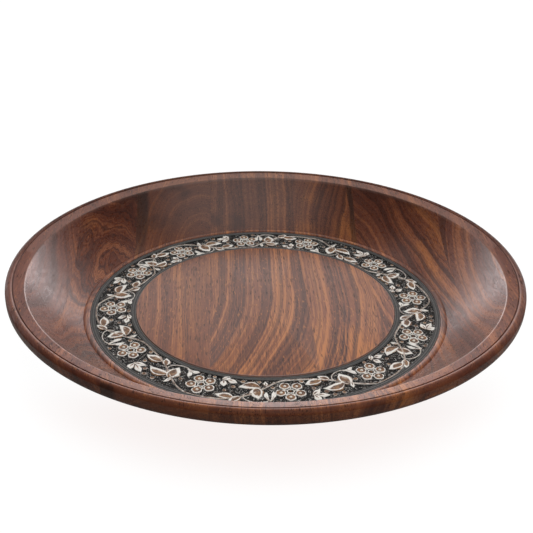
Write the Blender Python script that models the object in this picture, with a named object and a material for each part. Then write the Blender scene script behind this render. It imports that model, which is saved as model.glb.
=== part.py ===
"""Wide shallow wooden bowl turned from a glued-up blank, with a carved ring let into its floor.

The blank is seven boards glued edge to edge, their grain along Y, so each board is one slice of
the turned shape between two glue lines. The carved ring is its own piece and sits in a turned
recess in the boards. Metres, +Z up, origin at the middle of the foot's resting plane.
"""

from math import cos, pi, radians, sin

import bmesh
import bpy

# ---- overall ----
OUTER_DIAMETER = 0.350      # widest point of the rim
OVERALL_HEIGHT = 0.050      # foot plane to the crown of the rim
ROUND_STEPS = 72            # facets around every turned surface

# ---- rim, from the outside in ----
BEAD_WIDTH = 0.0045         # outer bead, from its inner arris to the widest point
BEAD_ARRIS_DROP = 0.0004    # inner arris of the bead, below the crown
CROWN_RADIUS = 0.0030       # upper outside corner of the bead
BEAD_SIDE = 0.0025          # straight, upright side of the bead
BELLY_RADIUS = 0.0050       # lower outside corner of the bead
GROOVE_WIDTH = 0.0013       # V groove between the bead and the flat strip
GROOVE_DEPTH = 0.0009
STRIP_WIDTH = 0.0071        # flat strip around the mouth
STRIP_RISE = 0.0017         # the strip climbs outward by this much
MOUTH_DROP = 0.0022         # arris of the mouth, below the crown

# ---- inside ----
CENTRE_RADIUS = 0.0907      # plain centre of the floor
CENTRE_ARRIS = 0.0006       # eased edge of the plain centre
WALL_SAG = 0.0035           # hollow of the inner wall, below its chord
FOOT_BEAD_WIDTH = 0.0044    # small bead where the wall meets the floor
FOOT_BEAD_HEIGHT = 0.0014
WALL_TOE = 0.0005           # the wall starts this far above the bead's outer edge

# ---- carved ring and its recess ----
BAND_WIDTH = 0.0316         # recess that holds the ring
BAND_DROP = 0.0008          # top of the ring, below the plain centre
BAND_THICKNESS = 0.0040
BAND_MARGIN = 0.0036        # plain border along each edge of the ring
GROUND_DEPTH = 0.0007       # carved ground, below the borders

# ---- underside ----
LIP_REACH = 0.0030          # under side of the bead, inward from the end of its belly
LIP_DROP = 0.0012
OUTER_WALL_SAG = 0.0006     # swell of the outer wall
HIP_WALL = 0.0098           # wall, measured level, where it meets the floor
HIP_DROP = 0.0009           # hip of the outer wall, below the top of the carved ring
HEEL_INSET = 0.0062         # bottom of the outer wall, inside the foot of the inner wall
HEEL_HEIGHT = 0.0046
FOOT_INSET = 0.0085         # resting ring, inside the heel
FOOT_WIDTH = 0.0140
FOOT_HOLLOW = 0.0025        # underside within the resting ring, above the foot plane
FLOOR_THICKNESS = 0.0088    # wood left under the carved ring's recess

# ---- glued blank and fits ----
GLUE_LINES = (-0.138, -0.098, -0.039, 0.030, 0.079, 0.138)
BOARD_NAMES = ("far_left_board", "left_board", "left_centre_board", "centre_board",
               "right_centre_board", "right_board", "far_right_board")
GAP = 0.0003                # clearance left between any two touching pieces

# ---- heights and radii that follow from them ----
OUTER_RADIUS = OUTER_DIAMETER / 2
ARRIS_RADIUS = OUTER_RADIUS - BEAD_WIDTH
STRIP_OUTER_RADIUS = ARRIS_RADIUS - GROOVE_WIDTH
MOUTH_RADIUS = STRIP_OUTER_RADIUS - STRIP_WIDTH
MOUTH_HEIGHT = OVERALL_HEIGHT - MOUTH_DROP
RECESS_HEIGHT = FOOT_HOLLOW + FLOOR_THICKNESS
BAND_TOP = RECESS_HEIGHT + GAP + BAND_THICKNESS
CENTRE_HEIGHT = BAND_TOP + BAND_DROP
RECESS_OUTER_RADIUS = CENTRE_RADIUS + BAND_WIDTH
WALL_FOOT_RADIUS = RECESS_OUTER_RADIUS + FOOT_BEAD_WIDTH
HEEL_RADIUS = WALL_FOOT_RADIUS - HEEL_INSET
FOOT_RADIUS = HEEL_RADIUS - FOOT_INSET

WOOD_TINTS = ((0.125, 0.045, 0.022), (0.100, 0.036, 0.018), (0.115, 0.043, 0.022),
              (0.090, 0.033, 0.018), (0.120, 0.045, 0.020), (0.105, 0.038, 0.018),
              (0.125, 0.046, 0.024))
BAND_TINT = (0.030, 0.028, 0.028)


def clear_scene():
    """Remove whatever objects the file starts with."""
    for old in list(bpy.data.objects):
        bpy.data.objects.remove(old, do_unlink=True)


def finish_material(name, colour, roughness):
    """A plain Principled material for one finish."""
    material = bpy.data.materials.new(name)
    material.use_nodes = True
    shader = material.node_tree.nodes["Principled BSDF"]
    shader.inputs["Base Color"].default_value = (*colour, 1.0)
    shader.inputs["Roughness"].default_value = roughness
    shader.inputs["Metallic"].default_value = 0.0
    material.diffuse_color = (*colour, 1.0)
    return material


def corner(centre, radius, start, end, steps):
    """Points along an arc about centre, from one angle in degrees to another, ends included."""
    angles = [radians(start + (end - start) * i / steps) for i in range(steps + 1)]
    return [(centre[0] + radius * cos(a), centre[1] + radius * sin(a)) for a in angles]


def swept(start, end, sag, steps):
    """Points from start to end along a shallow curve that bulges to the right by sag."""
    run, rise = end[0] - start[0], end[1] - start[1]
    length = (run * run + rise * rise) ** 0.5
    points = []
    for i in range(steps + 1):
        t = i / steps
        bulge = 4 * sag * t * (1 - t) / length
        points.append((start[0] + run * t + rise * bulge, start[1] + rise * t - run * bulge))
    return points


def bead_hump(start, end, height, steps):
    """Inner points of a half-round bead that stands between start and end."""
    points = []
    for i in range(1, steps):
        t = i / steps
        points.append((start[0] + (end[0] - start[0]) * (1 - cos(pi * t)) / 2,
                       start[1] + (end[1] - start[1]) * t + height * sin(pi * t)))
    return points


def inside_outline():
    """Floor, ring recess, foot bead and wall, from the axis out to the arris of the mouth."""
    bead_start = (RECESS_OUTER_RADIUS, BAND_TOP)
    bead_end = (WALL_FOOT_RADIUS, BAND_TOP)
    return [
        (0.0, CENTRE_HEIGHT),
        (CENTRE_RADIUS - CENTRE_ARRIS, CENTRE_HEIGHT),
        (CENTRE_RADIUS, CENTRE_HEIGHT - CENTRE_ARRIS),
        (CENTRE_RADIUS, RECESS_HEIGHT),
        (RECESS_OUTER_RADIUS, RECESS_HEIGHT),
        bead_start,
        *bead_hump(bead_start, bead_end, FOOT_BEAD_HEIGHT, 4),
        bead_end,
        *swept((WALL_FOOT_RADIUS + WALL_TOE / 2, BAND_TOP + WALL_TOE),
               (MOUTH_RADIUS, MOUTH_HEIGHT), WALL_SAG, 7),
    ]


def rim_outline():
    """Strip, V groove and outer bead, from the strip's outer edge to the end of the belly."""
    strip_top = MOUTH_HEIGHT + STRIP_RISE
    arris_height = OVERALL_HEIGHT - BEAD_ARRIS_DROP
    crown_centre = (OUTER_RADIUS - CROWN_RADIUS, OVERALL_HEIGHT - CROWN_RADIUS)
    belly_centre = (OUTER_RADIUS - BELLY_RADIUS, crown_centre[1] - BEAD_SIDE)
    return [
        (STRIP_OUTER_RADIUS, strip_top),
        (STRIP_OUTER_RADIUS + GROOVE_WIDTH / 2, strip_top - GROOVE_DEPTH),
        (ARRIS_RADIUS, arris_height),
        *corner(crown_centre, CROWN_RADIUS, 90, 0, 4),
        *corner(belly_centre, BELLY_RADIUS, 0, -80, 4),
    ]


def underside_outline():
    """Lip under the bead, outer wall, heel and resting ring, in to the axis."""
    crown_height = OVERALL_HEIGHT - CROWN_RADIUS
    belly_end = corner((OUTER_RADIUS - BELLY_RADIUS, crown_height - BEAD_SIDE),
                       BELLY_RADIUS, -80, -80, 1)[0]
    lip = (belly_end[0] - LIP_REACH, belly_end[1] - LIP_DROP)
    hip = (WALL_FOOT_RADIUS + HIP_WALL, BAND_TOP - HIP_DROP)
    foot_inner = FOOT_RADIUS - FOOT_WIDTH
    return [
        *swept(lip, hip, -OUTER_WALL_SAG, 4),
        (HEEL_RADIUS, HEEL_HEIGHT),
        ((HEEL_RADIUS + FOOT_RADIUS) / 2, HEEL_HEIGHT * 0.65),
        (FOOT_RADIUS, 0.0),
        (foot_inner, 0.0),
        (foot_inner - FOOT_HOLLOW, FOOT_HOLLOW),
        (0.0, FOOT_HOLLOW),
    ]


def turned_object(name, outline, closed):
    """Spin an outline in the XZ plane about Z into one closed solid."""
    mesh = bpy.data.meshes.new(name)
    bm = bmesh.new()
    verts = [bm.verts.new((radius, 0.0, height)) for radius, height in outline]
    edges = [bm.edges.new(pair) for pair in zip(verts, verts[1:])]
    if closed:
        edges.append(bm.edges.new((verts[-1], verts[0])))
    bmesh.ops.spin(bm, geom=verts + edges, cent=(0, 0, 0), axis=(0, 0, 1),
                   angle=2 * pi, steps=ROUND_STEPS, use_merge=True)
    bmesh.ops.remove_doubles(bm, verts=bm.verts, dist=1e-6)
    bmesh.ops.recalc_face_normals(bm, faces=bm.faces)
    bm.to_mesh(mesh)
    bm.free()
    mesh.shade_smooth()
    mesh.set_sharp_from_angle(angle=radians(30))
    turned = bpy.data.objects.new(name, mesh)
    bpy.context.scene.collection.objects.link(turned)
    return turned


def board_blank(name, left, right):
    """The rough board that one slice is cut from: a box guide that never shows."""
    blank = bpy.data.objects.new(name, bpy.data.meshes.new(name))
    bpy.context.scene.collection.objects.link(blank)
    bm = bmesh.new()
    bmesh.ops.create_cube(bm, size=1.0)
    reach = OUTER_DIAMETER * 1.2
    bmesh.ops.scale(bm, verts=bm.verts, vec=(right - left, reach, OVERALL_HEIGHT * 2))
    bmesh.ops.translate(bm, verts=bm.verts,
                        vec=((left + right) / 2, 0.0, OVERALL_HEIGHT / 2))
    bm.to_mesh(blank.data)
    bm.free()
    blank.hide_render = True
    blank.display_type = "WIRE"
    return blank


def make_boards():
    """Turn the whole bowl once, then keep one board's slice of it for each board."""
    outline = inside_outline() + rim_outline() + underside_outline()
    turned = turned_object("turned_blank", outline, closed=False)
    edge = OUTER_RADIUS + GAP * 10
    cuts = (-edge,) + GLUE_LINES + (edge,)
    for index, name in enumerate(BOARD_NAMES):
        board = bpy.data.objects.new(name, turned.data.copy())
        bpy.context.scene.collection.objects.link(board)
        blank = board_blank(name + "_blank", cuts[index] + GAP / 2, cuts[index + 1] - GAP / 2)
        slice_cut = board.modifiers.new("board_slice", "BOOLEAN")
        slice_cut.operation = "INTERSECT"
        slice_cut.object = blank
        board.data.materials.append(finish_material(name + "_wood", WOOD_TINTS[index], 0.32))
    bpy.data.objects.remove(turned, do_unlink=True)


def make_band():
    """The carved ring: two plain borders with the sunk ground between them."""
    inner = CENTRE_RADIUS + GAP
    outer = RECESS_OUTER_RADIUS - GAP
    ground = BAND_TOP - GROUND_DEPTH
    bottom = BAND_TOP - BAND_THICKNESS
    outline = [
        (inner, BAND_TOP), (inner + BAND_MARGIN, BAND_TOP),
        (inner + BAND_MARGIN + GROUND_DEPTH, ground),
        (outer - BAND_MARGIN - GROUND_DEPTH, ground),
        (outer - BAND_MARGIN, BAND_TOP), (outer, BAND_TOP),
        (outer, bottom), (inner, bottom),
    ]
    band = turned_object("carved_band", outline, closed=True)
    band.data.materials.append(finish_material("carved_band_black", BAND_TINT, 0.45))


def main():
    """Build the bowl."""
    clear_scene()
    make_boards()
    make_band()


main()
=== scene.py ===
"""Looks of a turned wooden bowl: seven glued boards and a carved, blackened ring in its floor.

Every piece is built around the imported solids, in metres, +Z up. The boards run along Y. The carving
is a running vine with blossoms, leaves, buds and berries on a stippled ground.
"""
import logging
import random
from collections.abc import Callable, Sequence
from dataclasses import dataclass, field
from enum import Enum
from math import cos, hypot, pi, radians, sin, tau

import bpy
from mathutils import Matrix, Vector


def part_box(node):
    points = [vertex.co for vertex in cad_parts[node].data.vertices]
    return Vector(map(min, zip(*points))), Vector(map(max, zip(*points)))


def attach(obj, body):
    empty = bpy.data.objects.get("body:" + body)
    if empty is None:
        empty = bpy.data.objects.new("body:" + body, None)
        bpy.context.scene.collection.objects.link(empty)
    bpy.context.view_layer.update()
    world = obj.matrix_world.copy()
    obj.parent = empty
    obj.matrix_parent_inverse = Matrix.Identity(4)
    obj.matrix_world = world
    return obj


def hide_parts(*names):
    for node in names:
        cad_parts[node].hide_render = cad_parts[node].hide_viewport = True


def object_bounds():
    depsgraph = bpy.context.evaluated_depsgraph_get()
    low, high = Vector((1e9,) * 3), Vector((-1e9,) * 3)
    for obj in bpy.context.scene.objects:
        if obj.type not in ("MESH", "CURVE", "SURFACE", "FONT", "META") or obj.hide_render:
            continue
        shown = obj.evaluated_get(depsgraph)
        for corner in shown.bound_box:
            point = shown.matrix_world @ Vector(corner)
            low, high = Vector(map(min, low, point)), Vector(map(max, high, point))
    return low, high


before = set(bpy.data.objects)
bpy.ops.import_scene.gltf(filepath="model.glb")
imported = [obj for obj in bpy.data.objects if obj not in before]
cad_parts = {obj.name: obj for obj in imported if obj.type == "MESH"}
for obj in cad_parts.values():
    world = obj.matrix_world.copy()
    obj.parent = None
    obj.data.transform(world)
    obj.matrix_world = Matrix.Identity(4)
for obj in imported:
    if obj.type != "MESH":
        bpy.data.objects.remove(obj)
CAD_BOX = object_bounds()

log = logging.getLogger("bowl")

Point2 = tuple[float, float]
Triple = tuple[float, float, float]
Colour = Triple
Line = tuple[float, float]
Span = tuple[float, ...]
Bands = tuple[float, float, float, float]
Grain = tuple[float, float, float, float, float]
Insets = tuple[tuple[float, float], ...]
Feed = bpy.types.NodeSocket | Vector | float | tuple[float, ...]
MERGE = 1e-6
ROOT = "root"
RING_NODE = "carved_band"
WHITE = (1.0, 1.0, 1.0)
SMOOTH_ANGLE = radians(35)
CARVED_ANGLE = radians(60)
FULL_TURN = 360.0
SEED_SIZE = 0.001
EASE_REACH = 0.48
MIX_FACTOR, MIX_FIRST, MIX_SECOND, MIX_RESULT = 0, 6, 7, 2


# ---------------------------------------------------------------- hand tools

def clear_selection() -> None:
    """Leave edit mode if need be and deselect every object."""
    if bpy.context.object and bpy.context.object.mode != "OBJECT":
        bpy.ops.object.mode_set(mode="OBJECT")
    bpy.ops.object.select_all(action="DESELECT")


def pick(*pieces: bpy.types.Object) -> bpy.types.Object:
    """Select some pieces alone and make the last one active.

    Args:
        *pieces: The objects to select.

    Returns:
        The active object.
    """
    clear_selection()
    for piece in pieces:
        piece.select_set(True)
    bpy.context.view_layer.objects.active = pieces[-1]
    return pieces[-1]


def edit(piece: bpy.types.Object, kind: str = "VERT") -> None:
    """Open a piece in edit mode with everything selected.

    Args:
        piece: The object to open.
        kind: VERT, EDGE or FACE, what a selection is made of.
    """
    pick(piece)
    bpy.ops.object.mode_set(mode="EDIT")
    bpy.ops.mesh.select_mode(type=kind)
    bpy.ops.mesh.select_all(action="SELECT")


def close_edit(piece: bpy.types.Object, smooth_angle: float = SMOOTH_ANGLE) -> bpy.types.Object:
    """Merge doubles, turn the faces outward, leave edit mode and shade by angle.

    Args:
        piece: The object in edit mode.
        smooth_angle: Edges sharper than this stay sharp, in radians.

    Returns:
        The same object.
    """
    bpy.ops.mesh.select_all(action="SELECT")
    bpy.ops.mesh.remove_doubles(threshold=MERGE)
    bpy.ops.mesh.normals_make_consistent(inside=False)
    bpy.ops.object.mode_set(mode="OBJECT")
    bpy.ops.object.shade_smooth_by_angle(angle=smooth_angle)
    return piece


def copy_of(piece: bpy.types.Object, name: str, place: Matrix | None = None) -> bpy.types.Object:
    """Duplicate a piece with a mesh of its own, moved by a matrix.

    Args:
        piece: The object to copy.
        name: Name of the copy.
        place: Where the copy goes, baked into its mesh.

    Returns:
        The copy.
    """
    twin = piece.copy()
    twin.data = piece.data.copy()
    twin.name = name
    bpy.context.scene.collection.objects.link(twin)
    if place is not None:
        twin.data.transform(place)
    return twin


def joined(pieces: list[bpy.types.Object], name: str) -> bpy.types.Object:
    """Join pieces into one object.

    Args:
        pieces: The objects to join; they stay separate shells.
        name: Name of the result.

    Returns:
        The joined object.
    """
    whole = pick(*pieces)
    if len(pieces) > 1:
        bpy.ops.object.join()
    whole.name = name
    return whole


def mark(piece: bpy.types.Object, name: str, tone: Callable[[Vector], float]
         ) -> bpy.types.Object:
    """Write a number on every vertex of a piece, for its material to read.

    Args:
        piece: The object.
        name: Name of the attribute.
        tone: Gives the number for a vertex's place.

    Returns:
        The same object.
    """
    values = piece.data.attributes.new(name, "FLOAT", "POINT").data
    for vertex in piece.data.vertices:
        values[vertex.index].value = tone(vertex.co)
    return piece


def traced(name: str, path: Sequence[Sequence[float]]) -> bpy.types.Object:
    """Draw a wire from point to point by extruding one vertex, and stay in edit mode.

    Args:
        name: Name of the wire.
        path: Its points.

    Returns:
        The wire, with its last vertex selected.
    """
    clear_selection()
    bpy.ops.mesh.primitive_plane_add(size=SEED_SIZE, location=(0, 0, 0))
    wire = bpy.context.object
    wire.name = name
    edit(wire)
    bpy.ops.mesh.merge(type="CENTER")
    bpy.ops.transform.translate(value=path[0])
    for here, there in zip(path, path[1:]):
        step = tuple(end - start for start, end in zip(here, there))
        bpy.ops.mesh.extrude_region_move(TRANSFORM_OT_translate={"value": step})
    return wire


def close_loop(distance: float) -> None:
    """Join the two ends of the wire in edit mode, which lie in the same place."""
    bpy.ops.mesh.select_all(action="SELECT")
    bpy.ops.mesh.remove_doubles(threshold=distance)


def finish_piece(piece: bpy.types.Object, material: bpy.types.Material,
                 node: str) -> None:
    """Dress a piece, ride the root body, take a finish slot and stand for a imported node.

    Args:
        piece: The finished object.
        material: Its only material.
        node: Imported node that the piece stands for.
    """
    piece.data.materials.clear()
    piece.data.materials.append(material)
    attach(piece, ROOT)
    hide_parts(node)
    log.info("%s: %d faces", piece.name, len(piece.data.polygons))


# ---------------------------------------------------------------- turned outlines

@dataclass
class Outline:
    """Half section of a turned piece, traced corner by corner in radius and height."""

    stops: list[Triple] = field(default_factory=list)

    def to(self, radius: float, height: float, ease: float = 0.0) -> "Outline":
        """Run straight to a corner and round it.

        Args:
            radius: Distance from the axis.
            height: Height above the foot plane.
            ease: How far back from the corner its rounding starts.

        Returns:
            This outline.
        """
        self.stops.append((radius, height, ease))
        return self

    def sweep(self, radius: float, height: float, sag: float, steps: int,
              ease: float = 0.0) -> "Outline":
        """Run to a corner along a shallow curve that bulges to the right.

        Args:
            radius: Distance of the corner from the axis.
            height: Height of the corner.
            sag: Largest distance of the curve from its chord.
            steps: Number of straight stretches in the curve.
            ease: Rounding of the corner.

        Returns:
            This outline.
        """
        start_radius, start_height, _ = self.stops[-1]
        run, rise = radius - start_radius, height - start_height
        length = hypot(run, rise)
        for step in range(1, steps):
            along = step / steps
            bulge = 4 * sag * along * (1 - along) / length
            self.to(start_radius + run * along + rise * bulge,
                    start_height + rise * along - run * bulge)
        return self.to(radius, height, ease)

    def arc(self, centre: Point2, radius: float, start: float, end: float,
            steps: int) -> "Outline":
        """Follow an arc about a centre, ends included.

        Args:
            centre: Radius and height of the arc's centre.
            radius: Radius of the arc.
            start: First angle in degrees.
            end: Last angle in degrees.
            steps: Number of straight stretches.

        Returns:
            This outline.
        """
        for step in range(steps + 1):
            angle = radians(start + (end - start) * step / steps)
            self.to(centre[0] + radius * cos(angle), centre[1] + radius * sin(angle))
        return self

    def points(self, steps: int = 5) -> list[Point2]:
        """Work out the traced points with every eased corner rounded.

        Args:
            steps: Straight stretches in each rounded corner.

        Returns:
            Radius and height of each point.
        """
        traced: list[Point2] = []
        for index, (radius, height, ease) in enumerate(self.stops):
            here = Vector((radius, height))
            if not ease or index in (0, len(self.stops) - 1):
                traced.append((radius, height))
                continue
            before = Vector(self.stops[index - 1][:2]) - here
            after = Vector(self.stops[index + 1][:2]) - here
            reach = min(ease, before.length * EASE_REACH, after.length * EASE_REACH)
            first = here + before.normalized() * reach
            last = here + after.normalized() * reach
            for step in range(steps + 1):
                t = step / steps
                spot = first * (1 - t) ** 2 + here * 2 * t * (1 - t) + last * t ** 2
                traced.append((spot.x, spot.y))
        return traced


def spun(name: str, points: list[Point2], steps: int, loop: bool) -> bpy.types.Object:
    """Trace an outline vertex by vertex and turn it about the axis.

    Args:
        name: Name of the piece.
        points: Radius and height of each point.
        steps: Number of facets around.
        loop: Whether the outline closes on itself, as for a ring.

    Returns:
        The turned object.
    """
    corners = points + points[:1] if loop else points
    piece = traced(name, [(radius, 0.0, height) for radius, height in corners])
    if loop:
        close_loop(MERGE)
    bpy.ops.object.mode_set(mode="OBJECT")
    lathe = piece.modifiers.new("lathe", "SCREW")
    lathe.angle = tau
    lathe.steps = steps
    lathe.render_steps = steps
    lathe.use_merge_vertices = True
    lathe.merge_threshold = MERGE
    bpy.ops.object.modifier_apply(modifier="lathe")
    edit(piece)
    return close_edit(piece)


# ---------------------------------------------------------------- node sheets

class Sheet:
    """Adds nodes to one node tree and links them by socket or constant."""

    def __init__(self, tree: bpy.types.NodeTree) -> None:
        """Work on a node tree."""
        self.tree = tree

    def add(self, kind: str, inputs: dict[str | int, Feed] | None = None,
            **settings: object) -> bpy.types.Node:
        """Add one node.

        Args:
            kind: Node type without the ShaderNode prefix.
            inputs: Input name or index to a socket to link or a constant.
            **settings: Node properties to set first.

        Returns:
            The node.
        """
        node = self.tree.nodes.new("ShaderNode" + kind)
        for key, value in settings.items():
            setattr(node, key, value)
        return self.fill(node, inputs or {})

    def fill(self, node: bpy.types.Node, inputs: dict[str | int, Feed]) -> bpy.types.Node:
        """Link or set the inputs of a node.

        Args:
            node: The node.
            inputs: Input name or index to a socket to link or a constant.

        Returns:
            The same node.
        """
        for key, value in inputs.items():
            if isinstance(value, bpy.types.NodeSocket):
                self.tree.links.new(value, node.inputs[key])
            else:
                node.inputs[key].default_value = value
        return node

    def math(self, operation: str, *values: Feed) -> bpy.types.NodeSocket:
        """Add a Math node.

        Args:
            operation: The operation's name.
            *values: Sockets or constants, in input order.

        Returns:
            Its output.
        """
        return self.add("Math", dict(enumerate(values)), operation=operation).outputs[0]

    def vector(self, operation: str, *values: Feed) -> bpy.types.NodeSocket:
        """Add a Vector Math node.

        Args:
            operation: The operation's name.
            *values: Sockets or constants, in input order.

        Returns:
            Its vector output.
        """
        return self.add("VectorMath", dict(enumerate(values)), operation=operation).outputs[0]

    def span(self, value: Feed, low: float, high: float, to_low: float = 0.0,
             to_high: float = 1.0) -> bpy.types.NodeSocket:
        """Map a value smoothly from one range to another.

        Args:
            value: The socket to map.
            low: Value that maps to to_low.
            high: Value that maps to to_high.
            to_low: First result.
            to_high: Last result.

        Returns:
            The mapped value.
        """
        node = self.add("MapRange", {0: value, 1: low, 2: high, 3: to_low, 4: to_high},
                        interpolation_type="SMOOTHSTEP")
        return node.outputs[0]

    def blend(self, factor: Feed, first: Feed, second: Feed, mode: str = "MIX"
              ) -> bpy.types.NodeSocket:
        """Mix two colours.

        Args:
            factor: Socket or constant, 0 to 1.
            first: First colour.
            second: Second colour.
            mode: Blend mode.

        Returns:
            The mixed colour.
        """
        node = self.add("Mix", data_type="RGBA", blend_type=mode)
        self.fill(node, {MIX_FACTOR: factor, MIX_FIRST: first, MIX_SECOND: second})
        return node.outputs[MIX_RESULT]

    def noise(self, coords: bpy.types.NodeSocket, scale: float, **settings: float
              ) -> bpy.types.NodeSocket:
        """Add an even noise.

        Args:
            coords: Where it is read.
            scale: Cells per metre.
            **settings: Its other inputs, by name.

        Returns:
            Its value.
        """
        return self.add("TexNoise", {"Vector": coords, "Scale": scale, **settings}).outputs[0]

    def bumped(self, shader: bpy.types.Node, height: bpy.types.NodeSocket, strength: float,
               depth: float) -> None:
        """Give a shader a fine relief.

        Args:
            shader: The Principled node.
            height: Height of the relief, 0 to 1.
            strength: How strongly it shows.
            depth: Its depth in metres.
        """
        bump = self.add("Bump", {"Height": height, "Strength": strength, "Distance": depth})
        self.tree.links.new(bump.outputs[0], shader.inputs["Normal"])


def rgba(colour: Colour) -> tuple[float, float, float, float]:
    """Add full alpha to a linear colour."""
    return (*colour, 1.0)


def new_group(name: str, inputs: dict[str, str], outputs: dict[str, str]
              ) -> tuple[Sheet, bpy.types.Node, bpy.types.Node]:
    """Start a shader node group with named sockets.

    Args:
        name: Group name.
        inputs: Socket name to socket type, without the NodeSocket prefix.
        outputs: The same for the outputs.

    Returns:
        A sheet on the group, its input node and its output node.
    """
    group = bpy.data.node_groups.new(name, "ShaderNodeTree")
    for way, sockets in (("INPUT", inputs), ("OUTPUT", outputs)):
        for socket, kind in sockets.items():
            group.interface.new_socket(name=socket, in_out=way, socket_type="NodeSocket" + kind)
    return (Sheet(group), group.nodes.new("NodeGroupInput"), group.nodes.new("NodeGroupOutput"))


def new_material(name: str, shown: Colour
                 ) -> tuple[bpy.types.Material, Sheet, bpy.types.Node]:
    """Start a material of nodes.

    Args:
        name: Material name.
        shown: Plain colour that stands for it in a solid view.

    Returns:
        The material, a sheet on its nodes and its Principled node.
    """
    made = bpy.data.materials.new(name)
    made.use_nodes = True
    made.diffuse_color = rgba(shown)
    return made, Sheet(made.node_tree), made.node_tree.nodes["Principled BSDF"]


@dataclass(frozen=True)
class TimberFigure:
    """Figure of sawn timber: growth rings about a pith that runs along Y.

    A grain is a noise: its cells per metre across, along and up, its detail and its roughness.
    Bands give a one-way noise: its rate, detail, roughness and shift. A span is the range that a
    value is mapped from, and where it has four numbers, the range it is mapped to as well.
    """

    spread: Triple = (0.37, 1.13, 0.71)
    slow_drift: Grain = (24, 6, 24, 1.5, 0.5)
    quick_drift: Grain = (110, 16, 110, 2.0, 0.5)
    quick_share: float = 0.2
    bow_start: float = 0.025
    bow_end: float = -0.115
    swirl: float = 2.4
    knot_stretch: Triple = (1.0, 0.50, 1.0)
    knot_pitch: float = 0.8
    knot_span: Span = (1.0, 0.35)
    least_knot: float = 1e-5
    broad_bands: Bands = (0.30, 2.0, 0.6, 3.0)
    fine_bands: Bands = (1.7, 3.0, 0.75, 40.0)
    ring_span: Span = (0.36, 0.64)
    streak_bands: Bands = (0.95, 2.0, 0.65, 90.0)
    streak_span: Span = (0.55, 0.63)
    hair_bands: Bands = (4.2, 1.0, 0.5, 140.0)
    hair_span: Span = (0.57, 0.68)
    fibre: Grain = (1000, 30, 1000, 2.5, 0.65)
    fibre_span: Span = (0.28, 0.72)
    patch: Grain = (34, 9, 34, 2.0, 0.55)
    patch_span: Span = (0.50, 0.66)
    fleck: Grain = (1150, 230, 1150, 1.5, 0.55)
    fleck_span: Span = (0.60, 0.72)
    pore: Grain = (1500, 110, 1500, 1.0, 0.5)
    pore_crowd: Grain = (130, 18, 130, 1.0, 0.5)
    crowd_span: Span = (0.35, 0.65, 0.59, 0.67)
    pore_span: Span = (-0.02, 0.05)
    tone_shares: Triple = (0.36, 0.34, 0.32)
    tone_middle: float = 0.48
    low_tones: Span = (0.05, 0.50)
    high_tones: Span = (0.45, 0.92)
    gold_tones: Span = (0.22, 0.74)
    gold: Colour = (0.60, 0.220, 0.064)
    hair_share: float = 0.36
    fleck_gold: Colour = (0.60, 0.22, 0.055)
    band_span: Span = (1.0, 0.45, 0.0, 0.75)
    band_dark: Colour = (0.030, 0.013, 0.010)
    back_span: Span = (-0.03, 0.03)
    # Multiplier for end grain: partly its own darker tone, partly painted shade on the back wall.
    end_grain_and_back_shade: Colour = (0.45, 0.40, 0.41)
    blotch: Grain = (30, 12, 45, 2.0, 0.6)
    blotch_span: Span = (0.47, 0.37, 0.0, 0.62)
    # Painted shade on the rim strip and bead crown, growing towards the sides.
    strip_shade_share: float = 0.45
    strip_painted_shade: Colour = (0.66, 0.58, 0.60)
    pore_dark: Colour = (0.022, 0.010, 0.007)
    # Colours of the painted arris highlight and of the painted shade in the groove and on the bead.
    painted_highlight: Colour = (0.74, 0.56, 0.50)
    painted_shade: Colour = (0.026, 0.009, 0.007)
    peel: Grain = (620, 240, 620, 1.5, 0.5)
    peel_height: float = 1.6
    fibre_height: float = 0.30
    mottle: Grain = (430, 170, 430, 2.5, 0.6)
    mottle_span: Span = (0.34, 0.66, -1.0, 1.0)
    calm_on_end: Line = (-0.28, 1.0)
    calm_on_strip: Line = (-0.50, 1.0)
    vein_by_side: Line = (0.27, 0.58)
    fleck_by_side: Line = (-0.45, 0.55)
    pore_by_side: Line = (-0.40, 0.70)
    mottle_by_side: Line = (0.85, 0.15)
    end_shade_by_back: Line = (0.35, 0.55)

    def build(self) -> bpy.types.NodeTree:
        """Build the figure's node group.

        Returns:
            The group, with colour, pore mask, sheen mottle and surface height.
        """
        sheet, given, made = new_group("timber_figure", {
            "Vector": "Vector", "Pith X": "Float", "Pith Z": "Float", "Ring Pitch": "Float",
            "Waver": "Float", "Lean": "Float", "Bow": "Float", "Seed": "Float",
            "Knot": "Vector", "Knot Size": "Float", "Gold": "Float", "End": "Float",
            "Side": "Float", "Strip": "Float", "Plain": "Float", "Painted Highlight": "Float",
            "Painted Shade": "Float", "Band X": "Float", "Band Width": "Float", "Band Front": "Float",
            "Light": "Color", "Mid": "Color", "Dark": "Color",
        }, {"Color": "Color", "Pore": "Float", "Mottle": "Float", "Height": "Float"})
        g = given.outputs
        shift = {axis: sheet.math("MULTIPLY", g["Seed"], step)
                 for axis, step in enumerate(self.spread)}
        place = sheet.vector("ADD", g["Vector"], sheet.add("CombineXYZ", shift).outputs[0])

        def noise(grain: Grain, out: int = 0) -> bpy.types.NodeSocket:
            """Read a noise that is stretched along the grain.

            Args:
                grain: The noise.
                out: 0 for its value, 1 for its colour.

            Returns:
                The chosen output.
            """
            *scale, detail, rough = grain
            coords = sheet.vector("MULTIPLY", place, tuple(scale))
            return sheet.add("TexNoise", {"Vector": coords, "Scale": 1.0, "Detail": detail,
                                          "Roughness": rough}).outputs[out]

        def times(value: bpy.types.NodeSocket, mask: bpy.types.NodeSocket,
                  line: Line) -> bpy.types.NodeSocket:
            """Multiply a value by a straight line through a mask."""
            return sheet.math("MULTIPLY", value, sheet.math("MULTIPLY_ADD", mask, *line))

        rings, across = self.rings(sheet, g, noise)

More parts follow.
